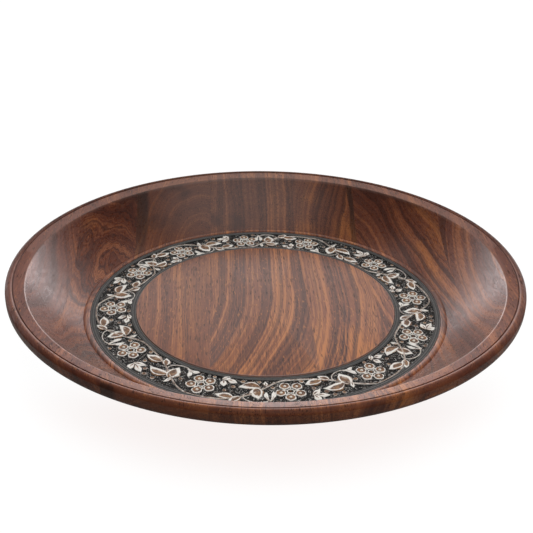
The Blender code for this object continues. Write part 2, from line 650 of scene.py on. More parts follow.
        def bands(form: Bands, span: Span) -> bpy.types.NodeSocket:
            """Draw uneven bands that follow the growth rings.

            Args:
                form: Their rate, detail, roughness and shift.
                span: Range that is spread over 0 to 1.

            Returns:
                How strong the bands are.
            """
            rate, detail, rough, start = form
            along = sheet.math("ADD", sheet.math("MULTIPLY", rings, rate),
                               sheet.math("ADD", g["Seed"], start))
            made_bands = sheet.add("TexNoise", {"W": along, "Scale": 1.0, "Detail": detail,
                                                "Roughness": rough}, noise_dimensions="1D")
            return sheet.span(made_bands.outputs[0], *span)

        broad = bands(self.broad_bands, self.ring_span)
        fine = bands(self.fine_bands, self.ring_span)
        streak = bands(self.streak_bands, self.streak_span)
        hair = bands(self.hair_bands, self.hair_span)
        fibre = sheet.span(noise(self.fibre), *self.fibre_span)
        pore = sheet.math("SUBTRACT", noise(self.pore),
                          sheet.span(noise(self.pore_crowd), *self.crowd_span))
        pore = sheet.span(pore, *self.pore_span)

        broad_share, fine_share, fibre_share = self.tone_shares
        tone = sheet.math("MULTIPLY_ADD", broad, broad_share,
                          sheet.math("MULTIPLY", fine, fine_share))
        tone = sheet.math("ADD", tone, sheet.math("MULTIPLY", fibre, fibre_share))
        calm = sheet.math("SUBTRACT", sheet.math("MULTIPLY_ADD", g["End"], *self.calm_on_end),
                          g["Plain"])
        calm = times(calm, g["Strip"], self.calm_on_strip)
        tone = sheet.math("MULTIPLY_ADD", sheet.math("SUBTRACT", tone, self.tone_middle), calm,
                          self.tone_middle)
        low = sheet.blend(sheet.span(tone, *self.low_tones), g["Dark"], g["Mid"])
        colour = sheet.blend(sheet.span(tone, *self.high_tones), low, g["Light"])
        golden = sheet.math("MULTIPLY", sheet.span(noise(self.patch), *self.patch_span),
                            g["Gold"])
        golden = sheet.math("MULTIPLY", golden, sheet.span(tone, *self.gold_tones))
        colour = sheet.blend(golden, colour, rgba(self.gold))
        vein = times(sheet.math("MULTIPLY", streak, calm), g["Side"], self.vein_by_side)
        colour = sheet.blend(vein, colour, g["Dark"])
        hair = sheet.math("MULTIPLY", sheet.math("MULTIPLY", hair, calm), self.hair_share)
        colour = sheet.blend(hair, colour, g["Dark"])
        fleck = times(sheet.span(noise(self.fleck), *self.fleck_span), g["Side"],
                      self.fleck_by_side)
        colour = sheet.blend(fleck, colour, rgba(self.fleck_gold))
        off = sheet.math("ABSOLUTE", sheet.math("SUBTRACT", across, g["Band X"]))
        band = sheet.span(sheet.math("DIVIDE", off, g["Band Width"]), *self.band_span)
        along = sheet.add("SeparateXYZ", {0: g["Vector"]}).outputs[1]
        back_half = sheet.span(along, *self.back_span)
        rear = sheet.math("MAXIMUM", back_half, g["Band Front"])
        band = sheet.math("MULTIPLY", sheet.math("MULTIPLY", band, g["End"]), rear)
        colour = sheet.blend(band, colour, rgba(self.band_dark))
        blotch = sheet.span(noise(self.blotch), *self.blotch_span)
        colour = sheet.blend(sheet.math("MULTIPLY", blotch, g["End"]), colour, g["Dark"])
        # End grain is darkened everywhere, its own darker tone, and more on the back half, which is
        # painted shade on the back wall.
        end_grain_and_back_shade = times(g["End"], back_half, self.end_shade_by_back)
        colour = sheet.blend(end_grain_and_back_shade, colour, rgba(self.end_grain_and_back_shade), "MULTIPLY")
        # Painted shade on the rim strip and bead crown, stronger towards the sides where the strip
        # faces away from the light.
        colour = sheet.blend(sheet.math("MULTIPLY", g["Strip"], self.strip_shade_share), colour,
                             rgba(self.strip_painted_shade), "MULTIPLY")
        colour = sheet.blend(times(pore, g["Side"], self.pore_by_side), colour,
                             rgba(self.pore_dark))
        # Painted highlight on the arrises and painted shade in the groove and on the bead's far side,
        # read from the mesh.
        colour = sheet.blend(g["Painted Highlight"], colour, rgba(self.painted_highlight))
        colour = sheet.blend(g["Painted Shade"], colour, rgba(self.painted_shade))
        peel = sheet.math("MULTIPLY", noise(self.peel), self.peel_height)
        height = sheet.math("SUBTRACT",
                            sheet.math("MULTIPLY_ADD", fibre, self.fibre_height, peel), pore)
        mottle = times(sheet.span(noise(self.mottle), *self.mottle_span), g["Side"],
                       self.mottle_by_side)
        for name, socket in (("Color", colour), ("Pore", pore), ("Mottle", mottle),
                             ("Height", height)):
            sheet.tree.links.new(socket, made.inputs[name])
        return sheet.tree

    def rings(self, sheet: Sheet, g: bpy.types.NodeOutputs,
              noise: Callable[..., bpy.types.NodeSocket]
              ) -> tuple[bpy.types.NodeSocket, bpy.types.NodeSocket]:
        """Count the growth rings out from the wavering pith, and round the knot.

        Args:
            sheet: The group's sheet.
            g: The group's given values.
            noise: Noise stretched along the grain.

        Returns:
            The ring count and the wavering distance across the board.
        """
        middle = (0.5, 0.5, 0.5)
        slow = sheet.vector("SUBTRACT", noise(self.slow_drift, 1), middle)
        quick = sheet.vector("SUBTRACT", noise(self.quick_drift, 1), middle)
        drift = sheet.vector("MULTIPLY_ADD", quick, (self.quick_share,) * 3, slow)
        drift = sheet.add("VectorMath", {0: drift, 3: g["Waver"]}, operation="SCALE").outputs[0]
        moved = sheet.add("SeparateXYZ", {0: sheet.vector("ADD", g["Vector"], drift)}).outputs
        leaning = sheet.math("MULTIPLY_ADD", moved[1], g["Lean"], moved[0])
        front = sheet.math("MINIMUM", sheet.math("SUBTRACT", moved[1], self.bow_start), 0.0)
        front = sheet.math("MAXIMUM", front, self.bow_end)
        bowed = sheet.math("MULTIPLY", sheet.math("MULTIPLY", front, front), g["Bow"])
        across = sheet.math("SUBTRACT", sheet.math("ADD", leaning, bowed), g["Pith X"])
        upward = sheet.math("SUBTRACT", moved[2], g["Pith Z"])
        distance = sheet.math("SQRT", sheet.math("ADD", sheet.math("MULTIPLY", across, across),
                                                 sheet.math("MULTIPLY", upward, upward)))
        rings = sheet.math("DIVIDE", distance, g["Ring Pitch"])
        swirl = sheet.vector("MULTIPLY_ADD", drift, (self.swirl,) * 3, g["Vector"])
        to_knot = sheet.vector("MULTIPLY", sheet.vector("SUBTRACT", swirl, g["Knot"]),
                               self.knot_stretch)
        knot_far = sheet.add("VectorMath", {0: to_knot}, operation="LENGTH").outputs["Value"]
        knot_rings = sheet.math("DIVIDE", knot_far,
                                sheet.math("MULTIPLY", g["Ring Pitch"], self.knot_pitch))
        nearness = sheet.math("DIVIDE", knot_far,
                              sheet.math("MAXIMUM", g["Knot Size"], self.least_knot))
        knotty = sheet.span(nearness, *self.knot_span)
        return sheet.add("Mix", {0: knotty, 2: rings, 3: knot_rings}).outputs[0], moved[0]


# ---------------------------------------------------------------- finishes

@dataclass(frozen=True)
class TimberFinish:
    """One board's timber under satin lacquer.

    Pith, knot and ring pitch are in metres; waver is how far the rings stray.
    """

    pith: Point2
    pitch: float = 0.0042
    waver: float = 0.012
    lean: float = 0.0
    seed: float = 1.0
    bow: float = 0.0
    band: Point2 = (1.0, 0.001)
    band_front: float = 0.0
    plain: float = 0.0
    knot: Triple = (0.0, 0.0, -1.0)
    knot_size: float = 0.02
    gold: float = 0.35
    light: Colour = (0.530, 0.196, 0.070)
    mid: Colour = (0.238, 0.077, 0.035)
    dark: Colour = (0.098, 0.032, 0.020)
    end_span: Span = (0.12, 0.62)
    side_span: Span = (0.15, 0.50)
    # Strengths of the painted arris highlight and of the painted groove and bead shade.
    highlight_share: float = 0.50
    shade_share: float = -0.75
    roughness: float = 0.32
    pore_rough: float = 0.22
    matte_rough: float = 0.22
    mottle_rough: float = 0.085
    specular: float = 0.24
    coat: float = 0.68
    coat_roughness: float = 0.26
    bump: float = 0.34
    bump_depth: float = 0.00012

    def material(self, name: str, group: bpy.types.NodeTree) -> bpy.types.Material:
        """Build the material.

        Args:
            name: Material name.
            group: The timber figure group.

        Returns:
            The material.
        """
        made, sheet, shader = new_material(name, self.mid)
        link = made.node_tree.links.new
        facing = sheet.add("SeparateXYZ", {0: sheet.add("NewGeometry").outputs["Normal"]})
        end = sheet.span(sheet.math("ABSOLUTE", facing.outputs[1]), *self.end_span)
        side = sheet.span(sheet.math("ABSOLUTE", facing.outputs[0]), *self.side_span)
        # Painted arris highlight above zero and painted shade below zero, as written on the mesh.
        wear_and_painted_light = sheet.add("Attribute", attribute_name="wear_and_painted_light").outputs["Fac"]
        matte = sheet.add("Attribute", attribute_name="matte").outputs["Fac"]
        figure = sheet.add("Group", node_tree=group)
        values = {"Vector": sheet.add("TexCoord").outputs["Object"], "End": end, "Side": side,
                  "Strip": matte, "Painted Highlight": sheet.math("MULTIPLY", wear_and_painted_light, self.highlight_share),
                  "Painted Shade": sheet.math("MULTIPLY", wear_and_painted_light, self.shade_share),
                  "Pith X": self.pith[0], "Pith Z": self.pith[1], "Ring Pitch": self.pitch,
                  "Waver": self.waver, "Lean": self.lean, "Bow": self.bow,
                  "Seed": self.seed, "Band X": self.band[0], "Band Width": self.band[1],
                  "Band Front": self.band_front, "Plain": self.plain,
                  "Knot": self.knot, "Knot Size": self.knot_size, "Gold": self.gold,
                  "Light": rgba(self.light), "Mid": rgba(self.mid), "Dark": rgba(self.dark)}
        sheet.fill(figure, values)
        link(figure.outputs["Color"], shader.inputs["Base Color"])
        rough = sheet.math("MULTIPLY_ADD", figure.outputs["Pore"], self.pore_rough,
                           self.roughness)
        rough = sheet.math("MULTIPLY_ADD", matte, self.matte_rough, rough)
        rough = sheet.math("MULTIPLY_ADD", figure.outputs["Mottle"], self.mottle_rough, rough)
        link(rough, shader.inputs["Roughness"])
        link(sheet.math("MULTIPLY_ADD", matte, -self.coat, self.coat),
             shader.inputs["Coat Weight"])
        sheet.bumped(shader, figure.outputs["Height"], self.bump, self.bump_depth)
        shader.inputs["Specular IOR Level"].default_value = self.specular
        shader.inputs["Coat Roughness"].default_value = self.coat_roughness
        return made


@dataclass(frozen=True)
class RubbedPaint:
    """Pale paint rubbed over brown carving, with black left in the hollows."""

    pale: Colour = (0.95, 0.91, 0.85)
    brown: Colour = (0.300, 0.150, 0.058)
    umber: Colour = (0.120, 0.052, 0.022)
    pearl: Colour = (0.90, 0.86, 0.78)
    black: Colour = (0.015, 0.013, 0.012)
    roughness: float = 0.42
    stroke_scale: float = 1500.0
    stroke_rough: float = 0.6
    stroke_share: float = 0.60
    blot_scale: float = 320.0
    blot_share: float = 0.5
    brown_span: Span = (0.38, 0.60)
    pale_span: Span = (0.46, 0.80)
    pearl_span: Span = (1.1, 1.4)
    wash_depths: Span = (0.00034, 0.00010)
    bump: float = 0.35
    bump_depth: float = 0.00012

    def material(self, name: str, level: float) -> bpy.types.Material:
        """Build the material.

        Args:
            name: Material name.
            level: Height of the sunk ground, where the black wash stays.

        Returns:
            The material.
        """
        made, sheet, shader = new_material(name, self.pale)
        coords = sheet.add("TexCoord").outputs["Object"]
        rub = sheet.add("Attribute", attribute_name="rub").outputs["Fac"]
        stroke = sheet.noise(coords, self.stroke_scale, Detail=2.0, Roughness=self.stroke_rough)
        blot = sheet.noise(coords, self.blot_scale, Detail=2.0)
        carried = rub
        for mark, share in ((stroke, self.stroke_share), (blot, self.blot_share)):
            carried = sheet.math("ADD", carried,
                                 sheet.math("MULTIPLY_ADD", mark, share, -share / 2))
        umber = sheet.blend(sheet.span(blot, *self.brown_span), rgba(self.umber),
                            rgba(self.brown))
        colour = sheet.blend(sheet.span(carried, *self.pale_span), umber, rgba(self.pale))
        colour = sheet.blend(sheet.span(rub, *self.pearl_span), colour, rgba(self.pearl))
        height = sheet.add("SeparateXYZ", {0: coords}).outputs[2]
        washed = sheet.span(height, *(level + depth for depth in self.wash_depths))
        colour = sheet.blend(washed, colour, rgba(self.black))
        made.node_tree.links.new(colour, shader.inputs["Base Color"])
        sheet.bumped(shader, stroke, self.bump, self.bump_depth)
        shader.inputs["Roughness"].default_value = self.roughness
        return made


@dataclass(frozen=True)
class BlackenedGround:
    """Black wash on stippled timber, rubbed through on its high points."""

    black: Colour = (0.005, 0.005, 0.005)
    border: Colour = (0.016, 0.017, 0.017)
    fleck: Colour = (0.070, 0.042, 0.026)
    wear_and_painted_light: Colour = (0.72, 0.69, 0.65)
    line: Colour = (0.200, 0.192, 0.190)
    roughness: float = 0.40
    field_rough: float = 0.24
    specular: float = 0.28
    grain_scale: float = 700.0
    field_depths: Span = (0.00030, 0.00045)
    fleck_span: Span = (0.60, 0.68)
    line_places: Span = (0.0002, 0.0019)
    line_span: Span = (0.00045, 0.00010)
    line_breaks: Span = (0.30, 0.60, 0.35, 0.85)
    curl_scale: float = 640.0
    curl_twist: float = 0.6
    curl_middle: float = 0.5
    curl_span: Span = (0.030, 0.012)
    gap_scale: float = 760.0
    gap_span: Span = (0.48, 0.56)
    edge_depths: Span = (0.00012, 0.00002)
    edge_share: float = 0.10
    bump: float = 0.3
    bump_depth: float = 0.0002

    def material(self, name: str, inner: float, outer: float, top: float
                 ) -> bpy.types.Material:
        """Build the material.

        Args:
            name: Material name.
            inner: Inner radius of the ring.
            outer: Outer radius of the ring.
            top: Height of the borders.

        Returns:
            The material.
        """
        made, sheet, shader = new_material(name, self.black)
        coords = sheet.add("TexCoord").outputs["Object"]
        height = sheet.add("SeparateXYZ", {0: coords}).outputs[2]
        grain = sheet.noise(coords, self.grain_scale, Detail=2.0)
        in_field = sheet.span(height, *(top - depth for depth in self.field_depths))
        flecks = sheet.math("MULTIPLY", sheet.span(grain, *self.fleck_span), in_field)
        flat = sheet.vector("MULTIPLY", coords, (1.0, 1.0, 0.0))
        radius = sheet.add("VectorMath", {0: flat}, operation="LENGTH").outputs["Value"]
        inward = sheet.math("MINIMUM", sheet.math("SUBTRACT", radius, inner),
                            sheet.math("SUBTRACT", outer, radius))
        cuts = [sheet.span(sheet.math("ABSOLUTE", sheet.math("SUBTRACT", inward, place)),
                           *self.line_span) for place in self.line_places]
        scored = sheet.math("MULTIPLY", sheet.math("MAXIMUM", *cuts),
                            sheet.span(grain, *self.line_breaks))
        edging = sheet.blend(scored, rgba(self.border), rgba(self.line))
        colour = sheet.blend(in_field, edging, rgba(self.black))
        colour = sheet.blend(flecks, colour, rgba(self.fleck))
        curl = sheet.noise(coords, self.curl_scale, Detail=1.0, Distortion=self.curl_twist)
        curl = sheet.math("ABSOLUTE", sheet.math("SUBTRACT", curl, self.curl_middle))
        gaps = sheet.add("TexNoise", {"Vector": coords, "Scale": self.gap_scale, "Detail": 0.0},
                         noise_dimensions="4D").outputs[0]
        marks = sheet.math("MULTIPLY", sheet.span(curl, *self.curl_span),
                           sheet.span(gaps, *self.gap_span))
        marks = sheet.math("MULTIPLY", marks, in_field)
        colour = sheet.blend(marks, colour, rgba(self.wear_and_painted_light))
        edge = sheet.span(height, *(top - depth for depth in self.edge_depths))
        colour = sheet.blend(sheet.math("MULTIPLY", edge, self.edge_share), colour,
                             rgba(self.wear_and_painted_light))
        made.node_tree.links.new(colour, shader.inputs["Base Color"])
        sheet.bumped(shader, grain, self.bump, self.bump_depth)
        rough = sheet.math("MULTIPLY_ADD", in_field, self.field_rough, self.roughness)
        made.node_tree.links.new(rough, shader.inputs["Roughness"])
        shader.inputs["Specular IOR Level"].default_value = self.specular
        return made


# ---------------------------------------------------------------- the boards

@dataclass(frozen=True)
class Arris:
    """A turned edge with a painted highlight line, or a groove or bead side with painted shade."""

    radius: float
    height: float
    width: float
    front: float
    back: float
    height_share: float = 0.5
    turn_over: float = 0.06

    def share(self, spot: Vector) -> float:
        """How much painted highlight (or, below zero, painted shade) a point of the surface carries.

        Args:
            spot: The point.

        Returns:
            From -1 for full painted shade to 1 for a full painted highlight.
        """
        away = hypot(spot.xy.length - self.radius,
                     self.height_share * (spot.z - self.height))
        near = max(0.0, 1.0 - away / self.width)
        # The painted light is given separately for the front half and the back half of the bowl.
        rear = (1.0 + max(-1.0, min(1.0, spot.y / self.turn_over))) / 2
        return near * (self.front * (1.0 - rear) + self.back * rear)


@dataclass
class TurnedBoards:
    """The seven boards of the blank, each the slice of the turned bowl between two glue lines."""

    group: bpy.types.NodeTree
    steps: int = 432
    glue_line: float = 0.00004
    bead_width: float = 0.0045
    crown_radius: float = 0.0030
    bead_side: float = 0.0025
    belly_radius: float = 0.0050
    groove_width: float = 0.0010
    groove_depth: float = 0.0005
    strip_width: float = 0.0071
    strip_rise: float = 0.0017
    mouth_drop: float = 0.0022
    wall_sag: float = 0.0018
    foot_bead_width: float = 0.0044
    foot_bead_height: float = 0.0008
    fit: float = 0.0003
    foot_bead_steps: int = 12
    foot_bead_fullness: float = 0.8
    fillet: float = 0.0004
    wall_steps: int = 40
    mouth_ease: float = 0.00045
    lip: Point2 = (0.0009, 0.13)
    fine_ease: float = 0.0002
    edge_ease: float = 0.0008
    disc_ease: float = 0.0007
    crown_steps: int = 12
    belly_steps: int = 14
    belly_end: float = -80.0
    under_lip: Point2 = (0.0030, 0.0012)
    under_reach: Point2 = (0.0098, 0.0009)
    under_sag: float = -0.0006
    under_steps: int = 16
    under_ease: float = 0.012
    heel: Point2 = (0.0062, 0.0046)
    foot_width: float = 0.0085
    foot_shoulder: float = 0.0030
    foot_ease: float = 0.0020
    land_width: float = 0.0140
    hollow: Point2 = (0.0165, 0.0025)
    matte_front: float = 0.30
    band_drop: float = 0.0008
    arrises: list[Arris] = field(default_factory=list)
    strip: Point2 = (0.0, 0.0)
    names: tuple[str, ...] = ("far_left_board", "left_board", "left_centre_board",
                              "centre_board", "right_centre_board", "right_board",
                              "far_right_board")

    def finishes(self) -> dict[str, TimberFinish]:
        """Choose each board's timber.

        Returns:
            Board name to its finish.
        """
        side_light, side_mid = (0.430, 0.155, 0.068), (0.200, 0.062, 0.036)
        return {
            "far_left_board": TimberFinish((-0.260, -0.020), 0.0058, 0.012, 0.02, 3.1,
                                           gold=0.15, light=side_light, mid=side_mid),
            "left_board": TimberFinish((-0.190, -0.030), 0.0046, 0.022, -0.02, 7.4,
                                       knot=(-0.121, 0.070, 0.002), knot_size=0.052,
                                       gold=0.25, light=side_light,
                                       mid=(0.190, 0.052, 0.025), dark=(0.075, 0.024, 0.016)),
            "left_centre_board": TimberFinish((-0.046, 0.006), 0.0044, 0.012, 0.01, 12.9,
                                              gold=0.55, band=(-0.0960, 0.0070),
                                              band_front=1.0, plain=0.30),
            "centre_board": TimberFinish((-0.300, 0.020), 0.0052, 0.011, 0.0, 21.3,
                                         bow=2.4, gold=0.45),
            "right_centre_board": TimberFinish((0.300, -0.050), 0.0048, 0.015, 0.04, 33.8,
                                               bow=1.8, gold=0.90, band=(0.0765, 0.0036),
                                               mid=(0.275, 0.090, 0.041)),
            "right_board": TimberFinish((0.060, -0.006), 0.0050, 0.020, 0.10, 41.6,
                                        gold=0.45, light=(0.480, 0.172, 0.070),
                                        mid=(0.240, 0.074, 0.038)),
            "far_right_board": TimberFinish((0.260, 0.010), 0.0056, 0.012, -0.02, 55.2,
                                            knot=(0.146, 0.060, 0.034), knot_size=0.008,
                                            gold=0.15, light=side_light, mid=side_mid),
        }

    def outline(self) -> list[Point2]:
        """Trace the whole bowl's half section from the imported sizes.

        Returns:
            Radius and height of each point.
        """
        low, high = CAD_BOX
        band_low, band_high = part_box(RING_NODE)
        outer, top = high.x, high.z
        recess_outer = band_high.x + self.fit
        band_top = band_high.z
        recess = band_low.z - self.fit
        centre = min(abs(v.co.xy.length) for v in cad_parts[RING_NODE].data.vertices)
        centre -= self.fit
        centre_top = band_top + self.band_drop
        wall_foot = recess_outer + self.foot_bead_width
        arris = outer - self.bead_width
        strip_outer = arris - self.groove_width
        mouth = strip_outer - self.strip_width
        mouth_top = top - self.mouth_drop
        strip_top = mouth_top + self.strip_rise
        crown = (outer - self.crown_radius, top - self.crown_radius)
        belly = (outer - self.belly_radius, crown[1] - self.bead_side)
        groove = strip_outer + self.groove_width / 2
        bead = (recess_outer + wall_foot) / 2
        # Arris marks: positive values paint highlight lines on the disc edge, mouth, bead arris and
        # foot bead, and painted sheen on the back of the strip; negative values paint shade in the
        # groove and on the bead crown and side, mostly at the back.
        self.arrises = [
            Arris(centre, centre_top, width=0.0007, front=0.80, back=0.90),
            Arris(mouth, mouth_top, width=0.00055, front=0.85, back=0.12),
            Arris(arris + 0.0001, top, width=0.00065, front=1.0, back=0.05),
            Arris((mouth + strip_outer) / 2, strip_top, width=0.0052, front=0.0, back=0.55),
            Arris(bead, band_top, width=0.0010, front=0.35, back=0.05),
            Arris(outer - 0.0018, top - 0.0006, width=0.0014, front=-0.45, back=-0.98),
            Arris(outer - 0.0006, top - 0.0018, width=0.0022, front=-0.05, back=-0.90),
            Arris(outer - 0.0028, top, width=0.0026, front=0.0, back=-0.98),
            Arris(groove, strip_top, width=0.00080, front=-1.0, back=-1.0),
        ]
        self.strip = (mouth + self.fillet, strip_outer)
        line = Outline()
        line.to(0.0, centre_top).to(centre, centre_top, self.disc_ease).to(centre, recess)
        line.to(recess_outer, recess)
        line.to(recess_outer, band_top - self.fine_ease, self.fine_ease)
        for step in range(self.foot_bead_steps + 1):
            share = step / self.foot_bead_steps
            swell = sin(pi * share) ** self.foot_bead_fullness
            line.to(recess_outer + self.foot_bead_width * share,
                    band_top + self.foot_bead_height * swell)
        line.to(wall_foot + self.fillet, band_top + self.fit, self.fit)
        line.sweep(mouth, mouth_top, self.wall_sag, self.wall_steps, self.mouth_ease)
        line.to(mouth + self.lip[0], mouth_top + (strip_top - mouth_top) * self.lip[1])
        line.to(strip_outer, strip_top, self.fine_ease)
        line.to(groove, strip_top - self.groove_depth, self.fine_ease)
        line.to(arris, top - self.fillet, self.fillet)
        line.arc(crown, self.crown_radius, 90, 0, self.crown_steps)
        line.arc(belly, self.belly_radius, 0, self.belly_end, self.belly_steps)
        under = line.stops[-1]
        line.to(under[0] - self.under_lip[0], under[1] - self.under_lip[1], self.edge_ease)
        line.sweep(wall_foot + self.under_reach[0], band_top - self.under_reach[1],
                   self.under_sag, self.under_steps, self.under_ease)
        heel = wall_foot - self.heel[0]
        foot = heel - self.foot_width
        line.to(heel, self.heel[1], self.foot_shoulder)
        line.to((heel + foot) / 2, self.foot_shoulder, self.foot_ease)
        line.to(foot, low.z, self.edge_ease).to(foot - self.land_width, low.z, self.edge_ease)
        line.to(foot - self.hollow[0], self.hollow[1], self.edge_ease)
        line.to(0.0, self.hollow[1])
        return line.points()

    def paint_arris_light(self, blank: bpy.types.Object) -> None:
        """Paint highlights on the arrises and shade in the groove and on the bead, and mark the strip
        and bead matt.

        Args:
            blank: The turned bowl.
        """
        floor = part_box(RING_NODE)[1].z - self.fine_ease
        inner, outer = self.strip
        bead_low = CAD_BOX[1].z - self.bead_side

        def arris_light(spot: Vector) -> float:
            """Find the strongest arris mark, painted highlight above zero and painted shade below,
            above the ring's floor only.

            Args:
                spot: The point.

            Returns:
                Its painted highlight above zero, its painted shade below zero.
            """
            if spot.z < floor:
                return 0.0
            return max((arris.share(spot) for arris in self.arrises), key=abs)

        def matt(spot: Vector) -> float:
            """Find how matt the rim is: on the strip, more so at its sides, and on the bead; the same
            share also paints shade into the colour there.

            Args:
                spot: The point.

            Returns:
                From 0 for gloss to 1 for matt.
            """
            radius = spot.xy.length
            if spot.z < floor or radius <= inner:
                return 0.0
            if radius < outer:
                return self.matte_front + (1.0 - self.matte_front) * abs(spot.x) / radius
            return 1.0 if radius > outer and spot.z > bead_low else 0.0

        # Painted arris highlight and shade, then how matt the rim is, which also sets the rim's
        # painted shade.
        mark(blank, "wear_and_painted_light", arris_light)
        mark(blank, "matte", matt)

    def build(self) -> list[bpy.types.Object]:
        """Turn the bowl once and slice it into boards.

        Returns:
            The seven boards.
        """
        whole = spun("turned_blank", self.outline(), self.steps, loop=False)
        self.paint_arris_light(whole)
        boards = []
        for name, finish in self.finishes().items():
            low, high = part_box(name)
            board = copy_of(whole, name + "_timber")
            edit(board)
            spare = self.fit / 2 - self.glue_line / 2
            for cut, side, drop in ((low.x - spare, self.names[0], "clear_inner"),
                                    (high.x + spare, self.names[-1], "clear_outer")):
                if name != side:
                    bpy.ops.mesh.select_all(action="SELECT")
                    bpy.ops.mesh.bisect(plane_co=(cut, 0, 0), plane_no=(1, 0, 0),
                                        use_fill=True, threshold=MERGE, **{drop: True})
            close_edit(board)
            finish_piece(board, finish.material(name + "_timber", self.group), name)
            boards.append(board)
        bpy.data.objects.remove(whole, do_unlink=True)
        return boards


# ---------------------------------------------------------------- the carved ring

class Motif(Enum):
    """Shapes that the carver repeats round the ring."""

    LEAF = "leaf"
    CURVED_LEAF = "curved_leaf"
    BUD = "bud"
    PRONG = "prong"
    BERRY = "berry"


@dataclass(frozen=True)
class Sprig:
    """One repeat of a motif in a half wave of the vine.

    Base and tip are in metres: clockwise from the half wave's blossom, then outward from the
    ring's middle line. A berry has no tip.
    """

    motif: Motif
    base: Point2
    tip: Point2 = (0.0, 0.0)
    width: float = 0.003


@dataclass
class Leaf:
    """A carved leaf of unit length and width, base at the origin and tip along +Y."""

    name: str
    widths: tuple[float, ...]
    heights: tuple[float, ...]
    bend: float = 0.0
    tip_rub: float = 0.62
    base_rub: float = 0.0
    lit_half: float = 0.46
    full_paint: float = 0.95
    tip_gain: float = 1.6
    spine_paint: Point2 = (0.25, 0.45)
    flat_share: float = 0.75
    depth: float = 0.002
    sunk: float = 0.0004

    def model(self) -> bpy.types.Object:
        """Shape a grid row by row and column by column, then give it depth.

        Returns:
            The leaf.
        """
        clear_selection()
        rows, columns = len(self.widths) - 1, 2 * (len(self.heights) - 1)
        bpy.ops.mesh.primitive_grid_add(x_subdivisions=columns, y_subdivisions=rows, size=1.0,
                                        location=(0.0, 0.5, 0.0))
        bpy.ops.object.transform_apply(location=True)
        leaf = bpy.context.object
        leaf.name = self.name
        rub = leaf.data.attributes.new("rub", "FLOAT", "POINT")
        for vertex in leaf.data.vertices:
            row = round(vertex.co.y * rows)
            column = abs(round(vertex.co.x * columns))
            share = vertex.co.y
            ridge = column == len(self.heights) - 2
            spine = column == 0
            fade = max(0.0, (share - self.tip_rub) / (1.0 - self.tip_rub))
            tone = self.base_rub + self.full_paint * min(1.0, self.tip_gain * fade)
            if ridge:
                tone = max(tone, self.full_paint)
            if spine:
                tone = max(tone, self.spine_paint[0] + self.spine_paint[1] * share)
            if vertex.co.x < 0.0:
                tone = min(self.full_paint, tone + self.lit_half)
            rub.data[vertex.index].value = tone
            vertex.co.x *= self.widths[row]
            vertex.co.x += self.bend * 4 * share * (1 - share)
            swell = self.flat_share + (1.0 - self.flat_share) * self.widths[row]
            vertex.co.z = self.heights[column] * swell
        edit(leaf, "FACE")
        bpy.ops.mesh.extrude_region_move(TRANSFORM_OT_translate={"value": (0, 0, -self.depth)})
        bpy.ops.transform.resize(value=(1, 1, 0), center_override=(0, 0, -self.sunk))
        bpy.ops.mesh.dissolve_faces()
        return close_edit(leaf, CARVED_ANGLE)


